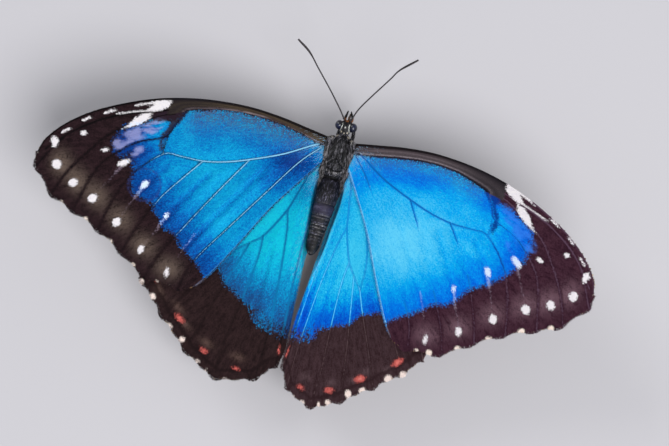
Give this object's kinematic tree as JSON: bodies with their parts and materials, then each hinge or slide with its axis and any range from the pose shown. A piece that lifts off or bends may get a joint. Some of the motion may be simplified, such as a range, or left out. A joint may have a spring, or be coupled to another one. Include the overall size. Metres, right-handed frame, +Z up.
{
  "type": "blue morpho butterfly",
  "caption": "Life-size still model of a blue morpho butterfly standing with spread iridescent blue wings, dark borders, pale spots, a furred body and long clubbed antennae",
  "frame": {"origin": "on the floor under the middle of the model's bounding box", "axes": "+X to the animal's left along the wingspan, -Y the way the head points, +Z up"},
  "size_m": [0.126, 0.0814, 0.0314],
  "materials": {
    "forewing_scales": "overlapping scales: metallic blue above with a dark border and pale spots, brown with ringed eyespots below",
    "hindwing_scales": "overlapping scales: metallic blue above with a broad dark border, brown with ringed eyespots below",
    "body_hair": "short dark grey-brown hair over dark skin",
    "eye": "dark, finely faceted and glossy",
    "antenna": "fine dark rings",
    "proboscis": "dark brown, ringed",
    "leg": "dark brown with short scales"
  },
  "bodies": {
    "root": {"head": "body_hair", "thorax": "body_hair", "abdomen": "body_hair", "proboscis": "proboscis", "eye_left": "eye", "eye_right": "eye", "palp_left": "body_hair", "palp_right": "body_hair", "antenna_left": "antenna", "antenna_right": "antenna", "forewing_left": "forewing_scales", "forewing_right": "forewing_scales", "hindwing_left": "hindwing_scales", "hindwing_right": "hindwing_scales", "foreleg_left": "body_hair", "foreleg_right": "body_hair", "midleg_femur_left": "leg", "midleg_femur_right": "leg", "midleg_tibia_left": "leg", "midleg_tibia_right": "leg", "midleg_tarsus_left": "leg", "midleg_tarsus_right": "leg", "hindleg_femur_left": "leg", "hindleg_femur_right": "leg", "hindleg_tibia_left": "leg", "hindleg_tibia_right": "leg", "hindleg_tarsus_left": "leg", "hindleg_tarsus_right": "leg"}
  },
  "joints": []
}
